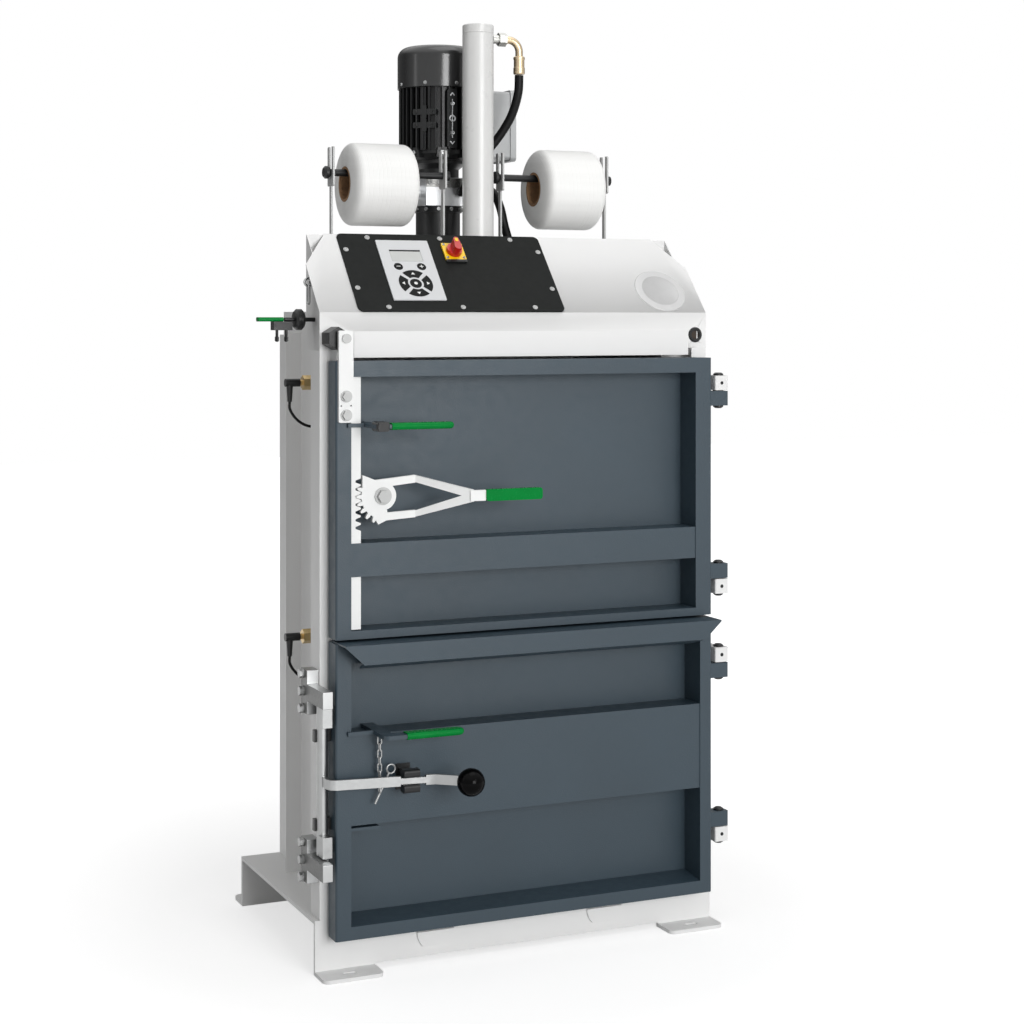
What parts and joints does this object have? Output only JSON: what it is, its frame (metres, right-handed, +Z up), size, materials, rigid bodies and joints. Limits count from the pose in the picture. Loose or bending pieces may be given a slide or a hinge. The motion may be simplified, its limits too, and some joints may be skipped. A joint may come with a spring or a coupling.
{
  "type": "recycling baler",
  "caption": "Upright recycling baler with hinged upper and lower doors, hydraulic press ram, toothed lever lock, cam rod lock, power pack and twine spools on top.",
  "frame": {"origin": "on the floor, midway between the four anchor slots of the feet", "axes": "+Z up, the doors face -Y, +X to the right as seen from the front; the door hinges are on the +X side"},
  "size_m": [1.0345, 0.7845, 1.997],
  "materials": {
    "frame_white": "satin powder coat",
    "door_grey": "textured powder coat",
    "zinc": "zinc plated",
    "press_steel": "satin",
    "black_plastic": "satin",
    "motor_black": "satin paint",
    "green_plastic": "dipped vinyl",
    "keypad_grey": "satin",
    "switch_yellow": "gloss",
    "switch_red": "gloss",
    "aluminium": "machined",
    "brass": "nickel-plated brass",
    "hose_rubber": "matte",
    "twine_white": "woven strap",
    "card": "wound card"
  },
  "bodies": {
    "frame": {"base_frame": "frame_white", "left_side": "frame_white", "right_side": "frame_white", "rear_wall": "frame_white", "left_rear_post": "frame_white", "right_rear_post": "frame_white", "bridge": "frame_white", "hood": "frame_white", "control_plate": "black_plastic", "keypad": "keypad_grey", "switch_plate": "switch_yellow", "barrel": "frame_white", "hose_fitting": "brass", "pressure_hose": "hose_rubber", "return_hose": "hose_rubber", "oil_tank": "motor_black", "valve_block": "aluminium", "bell_housing": "motor_black", "motor_body": "motor_black", "fan_cowl": "motor_black", "terminal_box": "keypad_grey", "spool_posts": "zinc", "spool_rods": "motor_black", "sensors": "brass", "sensor_plugs": "black_plastic", "upper_sensor_cable": "hose_rubber", "lower_sensor_cable": "hose_rubber", "rod_keepers": "zinc", "keeper_bolts": "zinc", "frame_hinge_blocks": "frame_white", "hinge_pins": "black_plastic", "door_stop": "black_plastic", "twine_tool": "black_plastic", "tool_grip": "green_plastic", "snap_hook": "zinc"},
    "upper_door": {"upper_door": "door_grey", "upper_handle": "door_grey", "upper_grip": "green_plastic", "stop_bar": "frame_white", "stop_bar_bolts": "zinc", "lever_pivot": "zinc"},
    "lock_lever": {"lock_lever": "frame_white", "lever_grip": "green_plastic"},
    "lock_bar": {"lock_bar": "frame_white"},
    "lower_door": {"lower_door": "door_grey", "lower_handle": "door_grey", "lower_grip": "green_plastic", "rod_bearings": "black_plastic", "handle_clip": "black_plastic", "safety_pin": "zinc"},
    "lock_rod": {"lock_rod": "zinc", "ball_knob": "black_plastic"},
    "ram": {"ram": "zinc", "press_plate": "press_steel"},
    "switch_knob": {"switch_knob": "switch_red"},
    "left_spool": {"left_twine": "twine_white", "left_core": "card"},
    "right_spool": {"right_twine": "twine_white", "right_core": "card"}
  },
  "joints": [
    {"name": "upper_door_hinge", "type": "hinge", "parent": "frame", "child": "upper_door", "pos_m": [0.464, -0.298, 0.972], "axis": [0, 0, 1], "range_deg": [0, 180]},
    {"name": "lower_door_hinge", "type": "hinge", "parent": "frame", "child": "lower_door", "pos_m": [0.464, -0.298, 0.38], "axis": [0, 0, 1], "range_deg": [0, 180]},
    {"name": "lock_lever_pivot", "type": "hinge", "parent": "upper_door", "child": "lock_lever", "pos_m": [-0.3322, -0.311, 0.978], "axis": [0, 1, 0], "range_deg": [0, 40]},
    {"name": "lock_bar_slide", "type": "slide", "parent": "upper_door", "child": "lock_bar", "axis": [0, 0, 1], "range_m": [0, 0.037]},
    {"name": "lock_rod_turn", "type": "hinge", "parent": "lower_door", "child": "lock_rod", "pos_m": [-0.454, -0.29, 0.404], "axis": [0, 0, -1], "range_deg": [0, 110]},
    {"name": "ram_slide", "type": "slide", "parent": "frame", "child": "ram", "axis": [0, 0, -1], "range_m": [0, 0.56]},
    {"name": "switch_turn", "type": "hinge", "parent": "frame", "child": "switch_knob", "pos_m": [-0.11, -0.15007, 1.48096], "axis": [0, -0.744, 0.6682], "range_deg": [-90, 0]},
    {"name": "left_spool_turn", "type": "hinge", "parent": "frame", "child": "left_spool", "pos_m": [-0.228, 0.005, 1.635], "axis": [1, 0, 0], "continuous": true},
    {"name": "right_spool_turn", "type": "hinge", "parent": "frame", "child": "right_spool", "pos_m": [0.228, 0.005, 1.635], "axis": [1, 0, 0], "continuous": true}
  ],
  "couplings": [
    {"joint": "lock_bar_slide", "follows": "lock_lever_pivot", "m_per_rad": 0.0525}
  ]
}
